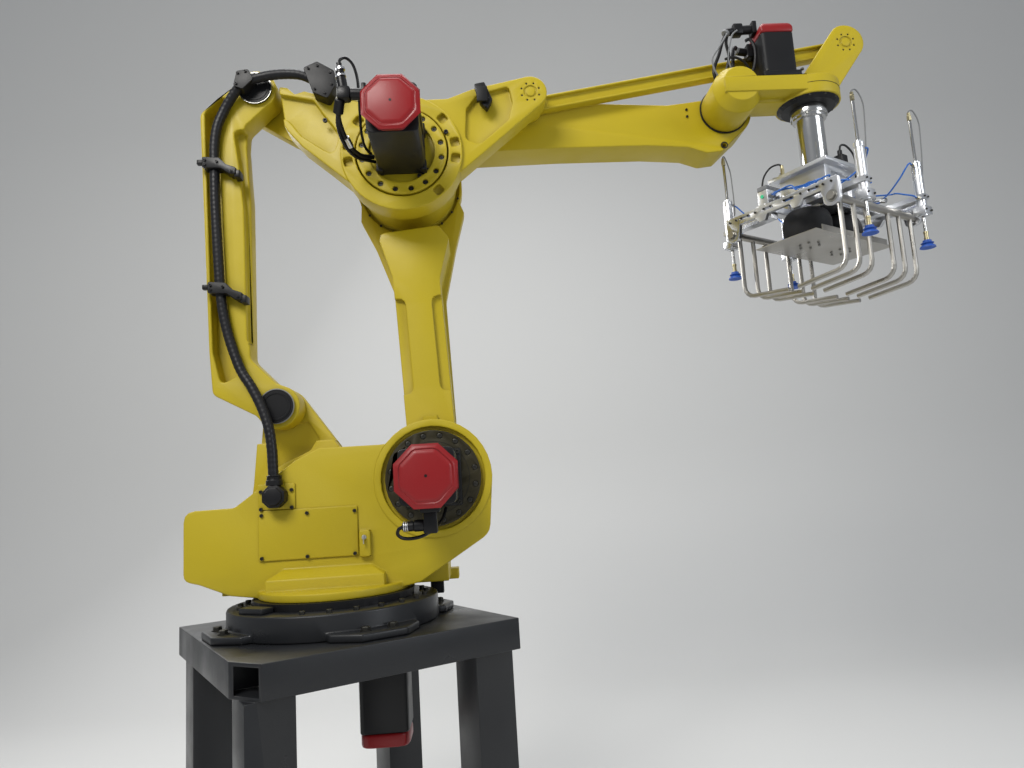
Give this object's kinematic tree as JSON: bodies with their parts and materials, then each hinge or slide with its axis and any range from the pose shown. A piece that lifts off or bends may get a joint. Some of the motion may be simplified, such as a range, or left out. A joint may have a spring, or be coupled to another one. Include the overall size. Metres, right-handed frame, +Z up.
{
  "type": "industrial robot arm",
  "caption": "Four-axis parallel-link palletising robot arm on a welded steel stand, with a bag gripper of swinging tines, press plate and suction cups.",
  "frame": {"origin": "on the floor, in the middle of the machine's box at rest; the slewing axis stands 0.8276 m behind it", "axes": "+Z up along the slewing axis, +X along the arm at rest towards the tool, -Y the side that carries the motors"},
  "size_m": [2.9074, 1.2882, 3.2925],
  "materials": {
    "yellow_paint": "semi-gloss",
    "charcoal_paint": "satin",
    "black_housing": "satin",
    "red_cap": "satin",
    "aluminium": "satin",
    "steel": "brushed",
    "rubber_black": "matte",
    "blue_rubber": "matte"
  },
  "bodies": {
    "stand": {"stand": "charcoal_paint", "base_casting": "charcoal_paint", "slewing_ring": "black_housing", "base_connector_box": "charcoal_paint", "base_motor": "black_housing", "base_motor_cap": "red_cap"},
    "turret": {"turret": "yellow_paint", "slew_dog": "black_housing", "conduit_lower": "rubber_black", "turret_cover": "yellow_paint", "conduit_flange": "yellow_paint", "conduit_gland": "black_housing", "shoulder_ring": "yellow_paint", "shoulder_motor": "black_housing", "shoulder_motor_cap": "red_cap"},
    "lower_arm": {"lower_arm": "yellow_paint"},
    "rear_link": {"rear_link": "yellow_paint", "conduit_link": "rubber_black", "link_clamp_lower": "black_housing", "link_clamp_upper": "black_housing", "pivot_clamp": "black_housing", "rear_link_lower_cover": "black_housing", "rear_link_upper_cover": "black_housing"},
    "bell_crank": {"bell_crank": "yellow_paint", "crank_clamp": "black_housing", "arm_clamp": "black_housing", "conduit_top": "rubber_black"},
    "upper_arm": {"upper_arm": "yellow_paint", "elbow_motor": "black_housing", "elbow_motor_cap": "red_cap"},
    "upper_link": {"upper_link": "yellow_paint"},
    "wrist": {"wrist": "yellow_paint", "wrist_motor": "black_housing", "wrist_motor_cap": "red_cap", "wrist_seal": "black_housing"},
    "tool": {"tool_mast": "steel", "gripper_frame": "aluminium", "gripper_rail_near": "aluminium", "gripper_rail_far": "aluminium", "valve_block": "aluminium", "cup_cylinder_1": "aluminium", "cup_cylinder_2": "aluminium", "cup_cylinder_3": "aluminium", "cup_cylinder_4": "aluminium"},
    "tines_left": {"tine_set_left": "steel"},
    "tines_right": {"tine_set_right": "steel"},
    "press": {"press_plate": "steel", "air_spring_near": "rubber_black", "air_spring_far": "rubber_black"},
    "cup_1": {"cup_1": "blue_rubber"},
    "cup_2": {"cup_2": "blue_rubber"},
    "cup_3": {"cup_3": "blue_rubber"},
    "cup_4": {"cup_4": "blue_rubber"}
  },
  "joints": [
    {"name": "slewing", "type": "hinge", "parent": "stand", "child": "turret", "pos_m": [-0.8276, 0.009, 1.178], "axis": [0, 0, 1], "range_deg": [-180, 180]},
    {"name": "shoulder", "type": "hinge", "parent": "turret", "child": "lower_arm", "pos_m": [-0.4606, 0.009, 1.552], "axis": [0, 1, 0], "range_deg": [-35, 60]},
    {"name": "rear_link_pivot", "type": "hinge", "parent": "turret", "child": "rear_link", "pos_m": [-1.0076, 0.009, 1.84], "axis": [0, 1, 0], "range_deg": [-35, 60], "deforming": ["conduit_lower"]},
    {"name": "crank_pivot", "type": "hinge", "parent": "lower_arm", "child": "bell_crank", "pos_m": [-0.52309, 0.009, 2.77501], "axis": [0, 1, 0], "range_deg": [-60, 35], "deforming": ["conduit_top"]},
    {"name": "elbow", "type": "hinge", "parent": "bell_crank", "child": "upper_arm", "pos_m": [-0.52309, 0.009, 2.77501], "axis": [0, 1, 0], "range_deg": [-2, 50]},
    {"name": "upper_link_pivot", "type": "hinge", "parent": "bell_crank", "child": "upper_link", "pos_m": [-0.02109, 0.009, 3.00751], "axis": [0, 1, 0], "range_deg": [-2, 50]},
    {"name": "wrist_pivot", "type": "hinge", "parent": "upper_arm", "child": "wrist", "pos_m": [0.78941, 0.009, 2.98501], "axis": [0, 1, 0], "range_deg": [-50, 2]},
    {"name": "tool_turn", "type": "hinge", "parent": "wrist", "child": "tool", "pos_m": [1.09341, 0.009, 2.9347], "axis": [0, 0, 1], "range_deg": [-270, 270]},
    {"name": "tines_left_open", "type": "hinge", "parent": "tool", "child": "tines_left", "pos_m": [0.98295, 0.19578, 2.433], "axis": [0.8607, 0.509, 0], "range_deg": [0, 80]},
    {"name": "tines_right_open", "type": "hinge", "parent": "tool", "child": "tines_right", "pos_m": [1.20387, -0.17778, 2.433], "axis": [0.8607, 0.509, 0], "range_deg": [-80, 0]},
    {"name": "press_down", "type": "slide", "parent": "tool", "child": "press", "axis": [0, 0, -1], "range_m": [0, 0.04]},
    {"name": "cup_1_down", "type": "slide", "parent": "tool", "child": "cup_1", "axis": [0, 0, -1], "range_m": [0, 0.15]},
    {"name": "cup_2_down", "type": "slide", "parent": "tool", "child": "cup_2", "axis": [0, 0, -1], "range_m": [0, 0.15]},
    {"name": "cup_3_down", "type": "slide", "parent": "tool", "child": "cup_3", "axis": [0, 0, -1], "range_m": [0, 0.15]},
    {"name": "cup_4_down", "type": "slide", "parent": "tool", "child": "cup_4", "axis": [0, 0, -1], "range_m": [0, 0.15]}
  ],
  "couplings": [
    {"joint": "rear_link_pivot", "follows": "shoulder", "ratio": 1},
    {"joint": "crank_pivot", "follows": "shoulder", "ratio": -1},
    {"joint": "upper_link_pivot", "follows": "elbow", "ratio": 1},
    {"joint": "wrist_pivot", "follows": "elbow", "ratio": -1},
    {"joint": "tines_right_open", "follows": "tines_left_open", "ratio": -1},
    {"joint": "cup_2_down", "follows": "cup_1_down", "ratio": 1},
    {"joint": "cup_3_down", "follows": "cup_1_down", "ratio": 1},
    {"joint": "cup_4_down", "follows": "cup_1_down", "ratio": 1}
  ]
}
